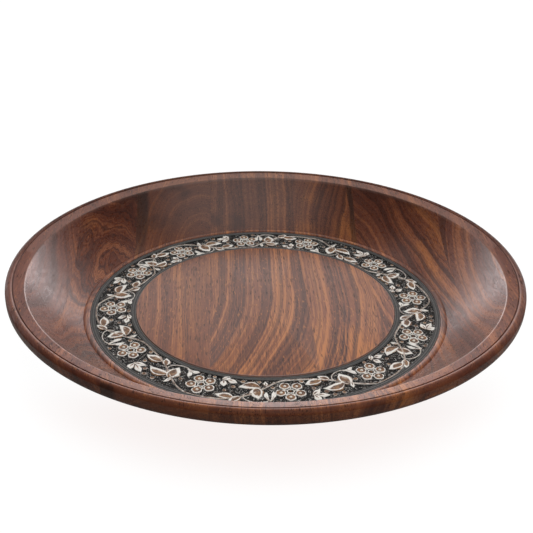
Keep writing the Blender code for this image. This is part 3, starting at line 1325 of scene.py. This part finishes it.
@dataclass
class CarvedRing:
    """The blackened ring let into the floor, with its blossoms, leaves, vine and stippling."""

    waves: tuple[float, ...] = (96.2, 69.3, 35.5, 4.2, -24.7, -54.3, -84.6, -114.5, -147.8,
                                -179.3, -209.1, -234.8)
    wave_length: float = 0.0557
    vine_reach: float = 0.0119
    vine_lean: float = 0.17
    vine_start: float = 0.0014
    border: float = 0.0034
    sink: float = 0.0007
    stipple_pitch: float = 0.00055
    stipple_depth: float = 0.00045
    steps: int = 1152
    border_cuts: int = 3
    cut_width: float = 0.00022
    edge: float = 0.0002
    field_slope: float = 0.0003
    level_band: float = 0.0001
    coarse_punch: Point2 = (0.0026, 0.00022)
    punch_middle: float = 0.45
    petals: int = 5
    petal_radius: float = 0.0033
    petal_reach: float = 0.0064
    petal_facets: int = 20
    petal_lobe: float = 0.06
    petal_height: float = 0.00095
    petal_insets: Insets = ((0.00022, 0.00020), (0.00034, 0.0), (0.00035, -0.00035),
                            (0.0008, 0.00006))
    petal_rim: float = 0.80
    petal_paint: Point2 = (1.0, 0.04)
    pearl_radius: float = 0.00098
    pearl_place: Triple = (0.0, -0.0003, 0.00050)
    pearl_flatness: float = 0.7
    pearl_paint: float = 1.5
    eye_ring: Triple = (0.0021, 0.00034, 0.00035)
    eye_ring_paint: float = 0.9
    eye: Point2 = (0.0008, 0.0002)
    link_size: Point2 = (0.00030, 0.0026)
    link_place: Triple = (0.0, 0.0036, 0.00028)
    link_paint: float = 0.85
    link_angle: float = radians(50)
    berry_radius: float = 0.0014
    berry_facets: int = 10
    berry_height: float = 0.0008
    berry_insets: Insets = ((0.00028, 0.00018), (0.00025, -0.00012), (0.0003, 0.00015))
    berry_rim: float = 0.0010
    berry_paint: Point2 = (0.62, 0.05)
    root: float = 0.0004
    stem_merge: float = 0.0002
    stem_crest: float = 0.0006
    stem_shade: float = 0.35
    vine_steps: int = 30
    vine_lift: float = 0.00022
    vine_radius: float = 0.00060
    vine_uneven: Triple = (0.00010, 0.9, 0.13)
    vine_paint: float = 0.92
    tendril_steps: int = 6
    tendril_lift: float = 0.00016
    tendril_radius: Point2 = (0.00036, 0.00016)
    tendril_paint: float = 0.68
    berry_sizes: Span = (0.85, 1.1)
    leaf_turns: Span = (-0.10, 0.10)
    leaf_sizes: Span = (0.93, 1.07)
    blossom_turns: Span = (-14, 14)
    seed: int = 11

    def __post_init__(self) -> None:
        """Read the ring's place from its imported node."""
        low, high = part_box(RING_NODE)
        radii = [v.co.xy.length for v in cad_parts[RING_NODE].data.vertices]
        self.inner, self.outer = min(radii), max(radii)
        self.bottom, self.top = low.z, high.z
        self.middle = (self.inner + self.outer) / 2
        self.level = self.top - self.sink
        self.chance = random.Random(self.seed)

    def spot(self, wave: int, du: float, v: float) -> Vector:
        """Find a point of the ring's floor.

        Args:
            wave: Number of the half wave.
            du: Metres clockwise from its blossom, on an even wave.
            v: Metres outward from the middle line.

        Returns:
            The point, on the sunk ground.
        """
        start = self.waves[wave % len(self.waves)]
        end = self.waves[(wave + 1) % len(self.waves)]
        span = (start - end) % FULL_TURN
        angle = radians(start - span * du / self.wave_length)
        radius = self.middle + v
        return Vector((radius * cos(angle), radius * sin(angle), self.level))

    @staticmethod
    def outside(wave: int) -> bool:
        """Whether the vine passes outside the blossom of a half wave."""
        return wave % 2 == 1

    def ground(self) -> bpy.types.Object:
        """Turn the ring with its lined borders and stipple the sunk ground between them.

        Returns:
            The ring.
        """
        line = Outline()
        line.to(self.inner, self.bottom).to(self.inner, self.top - self.edge, self.edge)
        field_in, field_out = self.inner + self.border, self.outer - self.border
        width = field_out - field_in - 2 * self.field_slope

        def lined(start: float, end: float) -> None:
            """Cross a border face with its fine cut lines.

            Args:
                start: Radius of its first edge.
                end: Radius of its last edge.
            """
            step = (end - start) / (self.border_cuts + 1)
            for cut in range(1, self.border_cuts + 1):
                place = start + step * cut
                side = self.cut_width if step > 0 else -self.cut_width
                line.to(place - side, self.top).to(place, self.top - self.cut_width)
                line.to(place + side, self.top)

        line.to(self.inner + self.edge, self.top)
        lined(self.inner, field_in)
        line.to(field_in, self.top, self.edge).to(field_in + self.field_slope, self.level)
        rows = round(width / self.stipple_pitch)
        for row in range(1, rows):
            line.to(field_in + self.field_slope + width * row / rows, self.level)
        line.to(field_out - self.field_slope, self.level).to(field_out, self.top, self.edge)
        lined(field_out, self.outer)
        line.to(self.outer - self.edge, self.top)
        line.to(self.outer, self.top - self.edge, self.edge).to(self.outer, self.bottom)
        ring = spun("ring_ground", line.points(2), self.steps, loop=True)
        sunk = ring.vertex_groups.new(name="field")
        low, high = self.level - self.level_band, self.level + self.level_band
        sunk.add([v.index for v in ring.data.vertices if low < v.co.z < high], 1.0, "REPLACE")
        pick(ring)
        for scale, depth in ((2 * self.stipple_pitch, self.stipple_depth), self.coarse_punch):
            grit = bpy.data.textures.new("punch_marks", "CLOUDS")
            grit.noise_scale = scale
            grit.noise_depth = 1
            grit.noise_basis = "VORONOI_F1"
            punch = ring.modifiers.new("punch", "DISPLACE")
            punch.texture = grit
            punch.vertex_group = "field"
            punch.direction = "Z"
            punch.texture_coords = "LOCAL"
            punch.strength = depth
            punch.mid_level = self.punch_middle
            bpy.ops.object.modifier_apply(modifier="punch")
        return ring

    def boss(self, name: str, facets: int, radius: float, lobe: float, height: float,
             insets: Insets) -> bpy.types.Object:
        """Raise a small boss from a disc and step its top inwards.

        Args:
            name: Name of the boss.
            facets: Sides of the disc.
            radius: Its radius.
            lobe: How far its outline swells and sinks, as a share of the radius.
            height: Height it is raised by.
            insets: Width and rise of each step.

        Returns:
            The boss, its foot sunk below the origin.
        """
        clear_selection()
        bpy.ops.mesh.primitive_circle_add(vertices=facets, radius=radius, fill_type="NGON",
                                          location=(0, 0, -self.root))
        bpy.ops.object.transform_apply(location=True)
        boss = bpy.context.object
        boss.name = name
        for vertex in boss.data.vertices:
            angle = vertex.co.xy.angle_signed(Vector((0, 1)))
            vertex.co.xy *= 1.0 + lobe * cos(self.petals * angle)
        edit(boss, "FACE")
        bpy.ops.mesh.extrude_region_move(TRANSFORM_OT_translate={"value": (0, 0, height)})
        for thickness, rise in insets:
            bpy.ops.mesh.inset(thickness=thickness, depth=rise)
        return close_edit(boss, CARVED_ANGLE)

    @staticmethod
    def bead(tone: float) -> bpy.types.Object:
        """Place the primitive just added in its mesh, smooth it and paint it evenly.

        Args:
            tone: How much pale paint it carries.

        Returns:
            The bead.
        """
        bpy.ops.object.transform_apply(location=True, rotation=True, scale=True)
        bpy.ops.object.shade_smooth()
        return mark(bpy.context.object, "rub", lambda spot: tone)

    def petal(self) -> bpy.types.Object:
        """Model one petal with its raised rim, dished face and pearl.

        Returns:
            The petal, centred on the origin with its outer point along +Y.
        """
        rim, face = self.petal_paint
        petal = mark(self.boss("petal", self.petal_facets, self.petal_radius, self.petal_lobe,
                               self.petal_height, self.petal_insets), "rub",
                     lambda spot: rim if spot.xy.length / self.petal_radius > self.petal_rim
                     else face)
        clear_selection()
        bpy.ops.mesh.primitive_uv_sphere_add(segments=10, ring_count=6,
                                             radius=self.pearl_radius,
                                             location=self.pearl_place)
        bpy.ops.transform.resize(value=(1, 1, self.pearl_flatness))
        return joined([self.bead(self.pearl_paint), petal], "petal")

    def blossom(self) -> bpy.types.Object:
        """Set five petals round a dark eye with pale links between them.

        Returns:
            The blossom, centred on the origin.
        """
        petal = self.petal()
        outward = Matrix.Translation((0, self.petal_reach, 0))
        parts = [copy_of(petal, "petal_of_blossom",
                         Matrix.Rotation(tau * turn / self.petals, 4, "Z") @ outward)
                 for turn in range(self.petals)]
        bpy.data.objects.remove(petal, do_unlink=True)
        radius, wire, height = self.eye_ring
        clear_selection()
        bpy.ops.mesh.primitive_torus_add(major_radius=radius, minor_radius=wire,
                                         major_segments=20, minor_segments=6,
                                         location=(0, 0, height))
        parts.append(self.bead(self.eye_ring_paint))
        clear_selection()
        bpy.ops.mesh.primitive_uv_sphere_add(segments=10, ring_count=6, radius=self.eye[0],
                                             location=(0, 0, self.eye[1]))
        parts.append(self.bead(0.0))
        for turn in range(self.petals):
            clear_selection()
            bpy.ops.mesh.primitive_cylinder_add(vertices=6, radius=self.link_size[0],
                                                depth=self.link_size[1],
                                                rotation=(pi / 2, 0, 0),
                                                location=self.link_place)
            link = self.bead(self.link_paint)
            link.data.transform(Matrix.Rotation(tau * (turn + 0.5) / self.petals, 4, "Z"))
            bpy.ops.object.shade_smooth_by_angle(angle=self.link_angle)
            parts.append(link)
        return joined(parts, "blossom")

    def berry(self) -> bpy.types.Object:
        """Model one berry: a small brown boss in a pale rim.

        Returns:
            The berry, centred on the origin.
        """
        rim, face = self.berry_paint
        return mark(self.boss("berry", self.berry_facets, self.berry_radius, 0.0,
                              self.berry_height, self.berry_insets), "rub",
                    lambda spot: rim if spot.xy.length > self.berry_rim else face)

    def cord_of(self, name: str, path: list[Vector], radii: list[float], tone: float,
                closed: bool) -> bpy.types.Object:
        """Draw a round stem along a path, half sunk in the ground.

        Args:
            name: Name of the stem.
            path: Its middle line.
            radii: Radius at each point.
            tone: How much pale paint it carries.
            closed: Whether it runs all the way round.

        Returns:
            The stem.
        """
        stem = traced(name, path)
        if closed:
            close_loop(self.stem_merge)
        bpy.ops.object.mode_set(mode="OBJECT")
        bpy.ops.object.convert(target="CURVE")
        curve = stem.data
        curve.bevel_depth = 1.0
        curve.bevel_resolution = 1
        curve.use_fill_caps = True
        points = curve.splines[0].points
        for point in points:
            near = min(range(len(path)), key=lambda n: (path[n] - point.co.xyz).length)
            point.radius = radii[near]
        bpy.ops.object.convert(target="MESH")
        edit(stem)
        close_edit(stem, CARVED_ANGLE)
        crest = self.level + self.stem_crest
        return mark(stem, "rub", lambda spot: tone if spot.z < crest
                    else tone - self.stem_shade)

    def vine(self) -> bpy.types.Object:
        """Draw the running vine, which weaves outside one blossom and inside the next.

        Returns:
            The vine.
        """
        path = []
        for wave in range(len(self.waves)):
            sign = 1.0 if self.outside(wave) else -1.0
            for step in range(self.vine_steps):
                share = step / self.vine_steps
                swing = pi * (share + self.vine_lean * sin(pi * share))
                du = self.vine_start + share * self.wave_length
                path.append(self.spot(wave, du, sign * self.vine_reach * cos(swing)))
        lift = Vector((0, 0, self.vine_lift))
        path = [point + lift for point in path] + [path[0] + lift]
        swell, quick, slow = self.vine_uneven
        radii = [self.vine_radius + swell * sin(quick * n) * sin(slow * n)
                 for n in range(len(path))]
        return self.cord_of("running_vine", path, radii, self.vine_paint, closed=True)

    def tendrils(self) -> bpy.types.Object:
        """Draw the thin tendril of each half wave, from the vine round to its forked bud.

        Returns:
            The tendrils.
        """
        outer = ((0.0256, -0.0036), (0.0262, -0.0068), (0.0240, -0.0100), (0.0200, -0.0117),
                 (0.0162, -0.0119), (0.0138, -0.0108))
        inner = ((0.0264, 0.0018), (0.0284, 0.0048), (0.0266, 0.0086), (0.0218, 0.0108),
                 (0.0168, 0.0108), (0.0130, 0.0090))
        lift = Vector((0, 0, self.tendril_lift))
        made = []
        for wave in range(len(self.waves)):
            marks = outer if self.outside(wave) else inner
            path = []
            for index in range(len(marks) - 1):
                before = marks[max(index - 1, 0)]
                after = marks[min(index + 2, len(marks) - 1)]
                start, end = marks[index], marks[index + 1]
                for step in range(self.tendril_steps):
                    t = step / self.tendril_steps
                    du, v = (0.5 * (2 * start[k] + (end[k] - before[k]) * t
                                    + (2 * before[k] - 5 * start[k] + 4 * end[k] - after[k])
                                    * t * t
                                    + (3 * start[k] - before[k] - 3 * end[k] + after[k])
                                    * t ** 3) for k in (0, 1))
                    path.append(self.spot(wave, du, v) + lift)
            path.append(self.spot(wave, *marks[-1]) + lift)
            thin, swell = self.tendril_radius
            radii = [thin + swell * n / len(path) for n in range(len(path))]
            made.append(self.cord_of("tendril", path, radii, self.tendril_paint,
                                     closed=False))
        return joined(made, "tendrils")

    def sprigs(self, wave: int) -> list[Sprig]:
        """Lay out the motifs of one half wave.

        Args:
            wave: Number of the half wave.

        Returns:
            Its motifs.
        """
        leaf, curved, bud, prong, berry = (Motif.LEAF, Motif.CURVED_LEAF, Motif.BUD,
                                           Motif.PRONG, Motif.BERRY)
        if self.outside(wave):
            return [
                Sprig(leaf, (0.0193, 0.0034), (0.0203, -0.0096), 0.0088),
                Sprig(curved, (0.0216, 0.0006), (0.0350, 0.0002), 0.0068),
                Sprig(leaf, (0.0338, -0.0074), (0.0450, -0.0060), 0.0064),
                Sprig(leaf, (0.0284, -0.0060), (0.0346, -0.0122), 0.0050),
                Sprig(bud, (0.0172, 0.0022), (0.0188, 0.0084), 0.0030),
                Sprig(prong, (0.0144, -0.0112), (0.0096, -0.0036), 0.0034),
                Sprig(prong, (0.0144, -0.0112), (0.0064, -0.0104), -0.0034),
                Sprig(bud, (0.0412, 0.0067), (0.0346, 0.0092), 0.0044),
                Sprig(bud, (0.0431, 0.0066), (0.0409, 0.0134), 0.0050),
                Sprig(bud, (0.0437, 0.0062), (0.0370, 0.0018), 0.0046),
                Sprig(berry, (0.0260, 0.0093)), Sprig(berry, (0.0318, 0.0094)),
                Sprig(berry, (0.0352, 0.0050)), Sprig(berry, (0.0412, -0.0004)),
                Sprig(berry, (0.0466, -0.0092)), Sprig(berry, (0.0130, 0.0004)),
            ]
        return [
            Sprig(leaf, (0.0216, -0.0038), (0.0202, 0.0076), 0.0080),
            Sprig(curved, (0.0184, -0.0044), (0.0318, -0.0040), -0.0066),
            Sprig(leaf, (0.0338, 0.0072), (0.0446, 0.0058), 0.0060),
            Sprig(leaf, (0.0296, 0.0060), (0.0360, 0.0124), 0.0048),
            Sprig(bud, (0.0150, -0.0060), (0.0156, -0.0110), 0.0030),
            Sprig(prong, (0.0128, 0.0098), (0.0106, -0.0006), -0.0032),
            Sprig(prong, (0.0128, 0.0098), (0.0150, -0.0004), 0.0032),
            Sprig(bud, (0.0410, -0.0098), (0.0348, -0.0080), 0.0044),
            Sprig(bud, (0.0438, -0.0086), (0.0424, -0.0028), 0.0046),
            Sprig(bud, (0.0450, -0.0096), (0.0396, -0.0136), 0.0044),
            Sprig(berry, (0.0108, -0.0046)), Sprig(berry, (0.0196, -0.0104)),
            Sprig(berry, (0.0306, -0.0098)), Sprig(berry, (0.0404, 0.0014)),
            Sprig(berry, (0.0360, -0.0034)), Sprig(berry, (0.0510, -0.0106)),
            Sprig(berry, (0.0082, 0.0108)),
        ]

    def motifs(self) -> dict[Motif, bpy.types.Object]:
        """Model each repeated motif once.

        Returns:
            Motif to its model.
        """
        full = (0.14, 0.80, 1.12, 1.18, 1.04, 0.78, 0.40, 0.02)
        slim = (0.16, 0.72, 1.00, 0.86, 0.50, 0.02)
        fork = (0.34, 0.40, 0.62, 0.90, 0.86, 0.04)
        rise = (0.00066, 0.00042, 0.00080, 0.00030)
        low = (0.00052, 0.00080, 0.00030)
        return {
            Motif.LEAF: Leaf("leaf", full, rise).model(),
            Motif.CURVED_LEAF: Leaf("curved_leaf", full, rise, bend=0.34).model(),
            Motif.BUD: Leaf("bud", slim, low, tip_rub=0.30).model(),
            Motif.PRONG: Leaf("prong", fork, low, bend=0.30, tip_rub=0.35,
                              base_rub=0.2).model(),
            Motif.BERRY: self.berry(),
        }

    def foliage(self) -> dict[Motif, bpy.types.Object]:
        """Copy the motifs all round the ring.

        Returns:
            Motif to all its copies, joined.
        """
        models = self.motifs()
        copies: dict[Motif, list[bpy.types.Object]] = {motif: [] for motif in models}
        for wave in range(len(self.waves)):
            for sprig in self.sprigs(wave):
                base = self.spot(wave, *sprig.base)
                if sprig.motif is Motif.BERRY:
                    size = self.chance.uniform(*self.berry_sizes)
                    place = Matrix.Translation(base) @ Matrix.Scale(size, 4)
                else:
                    reach = self.spot(wave, *sprig.tip) - base
                    turn = reach.xy.angle_signed(Vector((0, 1)))
                    turn += self.chance.uniform(*self.leaf_turns)
                    stretch = self.chance.uniform(*self.leaf_sizes)
                    place = (Matrix.Translation(base) @ Matrix.Rotation(turn, 4, "Z")
                             @ Matrix.Diagonal((-sprig.width * stretch,
                                                reach.length * stretch, 1.0, 1.0)))
                copies[sprig.motif].append(
                    copy_of(models[sprig.motif], sprig.motif.value + "_copy", place))
        made = {}
        for motif, pieces in copies.items():
            made[motif] = joined(pieces, "carved_" + motif.value)
            edit(made[motif], "FACE")
            bpy.ops.mesh.normals_make_consistent(inside=False)
            bpy.ops.object.mode_set(mode="OBJECT")
            bpy.data.objects.remove(models[motif], do_unlink=True)
        return made

    def blossoms(self) -> bpy.types.Object:
        """Copy the blossom to every half wave, each turned a little.

        Returns:
            All the blossoms.
        """
        model = self.blossom()
        made = []
        for wave in range(len(self.waves)):
            centre = self.spot(wave, 0.0, 0.0)
            turn = self.waves[wave] - 90 + self.chance.uniform(*self.blossom_turns)
            place = Matrix.Translation(centre) @ Matrix.Rotation(radians(turn), 4, "Z")
            made.append(copy_of(model, "blossom_copy", place))
        bpy.data.objects.remove(model, do_unlink=True)
        return joined(made, "carved_blossoms")

    def build(self) -> None:
        """Carve the ring and dress every piece of it."""
        ground = self.ground()
        pieces = [self.vine(), self.tendrils(), self.blossoms(), *self.foliage().values()]
        paint = RubbedPaint().material("rubbed_carving", self.level)
        for piece in pieces:
            finish_piece(piece, paint, RING_NODE)
        black = BlackenedGround().material("blackened_ground", self.inner, self.outer,
                                           self.top)
        finish_piece(ground, black, RING_NODE)


# ---------------------------------------------------------------- studio

@dataclass
class Studio:
    """Pale floor, soft surround light and the camera."""

    camera_at: Triple = (-0.0322, -0.5632, 0.3339)
    pitch: float = 62.97
    turn: float = -3.3
    roll: float = 0.874
    lens: float = 61.78
    floor_glow: float = 0.94
    box_azimuth: float = -65.0
    box_height: float = 68.0
    box_light: float = 1.10
    backdrop_light: float = 3.25
    backdrop_tint: Colour = (1.0, 0.90, 0.905)
    valance_light: float = 1.1
    fill_light: float = 0.035
    box_span: Span = (0.78, 0.97)
    low_wall: Span = (0.44, 0.12, 0.0, 0.75)
    high_wall: Span = (0.68, 0.56, 0.0, 0.235)
    wall_behind: Span = (0.42, 0.80)
    valance_low: Span = (0.68, 0.74)
    valance_high: Span = (0.90, 0.84)
    valance_behind: Span = (0.25, 0.45)
    floor_radius: float = 4.0
    floor_lit: Colour = (0.93, 0.90, 0.89)
    floor_shadow: Colour = (0.945, 0.885, 0.872)
    shadow_reach: Span = (0.200, 0.130)
    shadow_front: Span = (-0.05, -0.12)
    floor_seen: float = 1.05
    floor_near: Colour = (0.30, 0.27, 0.25)
    floor_far: float = 1.6
    sweep_reach: Span = (0.32, 0.75)
    sweep_back: Span = (-0.25, 0.35)
    lamp_at: Triple = (0.2, -0.5, 1.5)
    lamp_size: float = 1.0
    lamp_power: float = 9.0
    lamp_aim: Triple = (0.0, 0.0, 0.02)
    sensor: float = 36.0

    def camera(self) -> None:
        """Place the camera."""
        lens = bpy.data.cameras.new("studio_camera")
        lens.lens = self.lens
        lens.sensor_width = self.sensor
        camera = bpy.data.objects.new("studio_camera", lens)
        bpy.context.scene.collection.objects.link(camera)
        aim = (Matrix.Rotation(radians(self.turn), 4, "Z")
               @ Matrix.Rotation(radians(self.pitch), 4, "X")
               @ Matrix.Rotation(radians(self.roll), 4, "Z"))
        camera.matrix_world = Matrix.Translation(self.camera_at) @ aim
        bpy.context.scene.camera = camera

    def floor(self) -> None:
        """Lay a large pale floor under the bowl."""
        clear_selection()
        bpy.ops.mesh.primitive_circle_add(vertices=96, radius=self.floor_radius,
                                          fill_type="NGON", location=(0, 0, 0))
        floor = bpy.context.object
        floor.name = "studio_floor"
        paint = bpy.data.materials.new("studio_floor")
        paint.use_nodes = True
        sheet = Sheet(paint.node_tree)
        paint.node_tree.nodes.clear()
        lit = sheet.add("BsdfDiffuse", {"Color": rgba(self.floor_lit)})
        place = sheet.add("TexCoord").outputs["Object"]
        away = sheet.add("VectorMath", {0: place}, operation="LENGTH").outputs["Value"]
        along = sheet.add("SeparateXYZ", {0: place}).outputs[1]
        shade = sheet.math("MULTIPLY", sheet.span(away, *self.shadow_reach),
                           sheet.span(along, *self.shadow_front))
        tint = sheet.blend(shade, rgba(WHITE), rgba(self.floor_shadow))
        seen = sheet.add("Emission", {"Color": tint, "Strength": self.floor_seen})
        sweep = sheet.math("MULTIPLY", sheet.span(away, *self.sweep_reach),
                           sheet.span(along, *self.sweep_back))
        near = sheet.add("BsdfDiffuse", {"Color": rgba(self.floor_near)})
        far = sheet.add("Emission", {"Color": rgba(WHITE), "Strength": self.floor_far})
        dim = sheet.add("MixShader", {0: sweep, 1: near.outputs[0], 2: far.outputs[0]})
        pale = sheet.add("MixShader", {0: self.floor_glow, 1: lit.outputs[0],
                                       2: seen.outputs[0]})
        ray = sheet.add("LightPath").outputs["Is Camera Ray"]
        both = sheet.add("MixShader", {0: ray, 1: dim.outputs[0], 2: pale.outputs[0]})
        sheet.add("OutputMaterial", {"Surface": both.outputs[0]})
        floor.data.materials.append(paint)

    def surround(self) -> None:
        """Give the world a broad overhead softbox and a lit backdrop behind the bowl."""
        world = bpy.data.worlds.new("studio_surround")
        bpy.context.scene.world = world
        world.use_nodes = True
        sheet = Sheet(world.node_tree)
        world.node_tree.nodes.clear()
        way = sheet.add("TexCoord").outputs["Generated"]
        part = sheet.add("SeparateXYZ", {0: way}).outputs
        azimuth, height = radians(self.box_azimuth), radians(self.box_height)
        toward = Vector((cos(azimuth), sin(azimuth), 0)) * cos(height)
        toward.z = sin(height)
        near = sheet.add("VectorMath", {0: way, 1: toward}, operation="DOT_PRODUCT")
        box = sheet.span(near.outputs["Value"], *self.box_span, 0.0, self.box_light)
        wall = sheet.math("ADD", sheet.span(part[2], *self.high_wall),
                          sheet.span(part[2], *self.low_wall))
        behind = sheet.math("MULTIPLY", sheet.span(part[1], *self.wall_behind), wall)
        above = sheet.math("MULTIPLY", sheet.span(part[2], *self.valance_low),
                           sheet.span(part[2], *self.valance_high, 0.0, self.valance_light))
        above = sheet.math("MULTIPLY", above, sheet.span(part[1], *self.valance_behind))
        level = sheet.math("MULTIPLY_ADD", behind, self.backdrop_light,
                           sheet.math("ADD", sheet.math("ADD", box, above), self.fill_light))
        tint = sheet.blend(behind, rgba(WHITE), rgba(self.backdrop_tint))
        light = sheet.add("Background", {"Color": tint, "Strength": level})
        seen = sheet.add("Background", {"Color": rgba(WHITE), "Strength": 1.0})
        ray = sheet.add("LightPath").outputs["Is Camera Ray"]
        mixed = sheet.add("MixShader", {0: ray, 1: light.outputs[0], 2: seen.outputs[0]})
        sheet.add("OutputWorld", {"Surface": mixed.outputs[0]})

    def lamp(self) -> None:
        """Hang one large soft box aimed at the bowl."""
        box = bpy.data.lights.new("overhead_box", "AREA")
        box.size = self.lamp_size
        box.energy = self.lamp_power
        lamp = bpy.data.objects.new("overhead_box", box)
        bpy.context.scene.collection.objects.link(lamp)
        beam = Vector(self.lamp_aim) - Vector(self.lamp_at)
        aim = beam.to_track_quat("-Z", "Y").to_matrix().to_4x4()
        lamp.matrix_world = Matrix.Translation(self.lamp_at) @ aim
        lamp.visible_camera = False
        lamp.visible_glossy = False

    def build(self) -> None:
        """Set up the whole studio."""
        bpy.context.scene.view_settings.view_transform = "Standard"
        self.camera()
        self.floor()
        self.surround()
        self.lamp()


def main() -> None:
    """Build the studio, the boards and the carved ring."""
    logging.basicConfig(level=logging.INFO, format="%(name)s: %(message)s")
    Studio().build()
    TurnedBoards(TimberFigure().build()).build()
    CarvedRing().build()


if __name__ == "__main__":
    main()
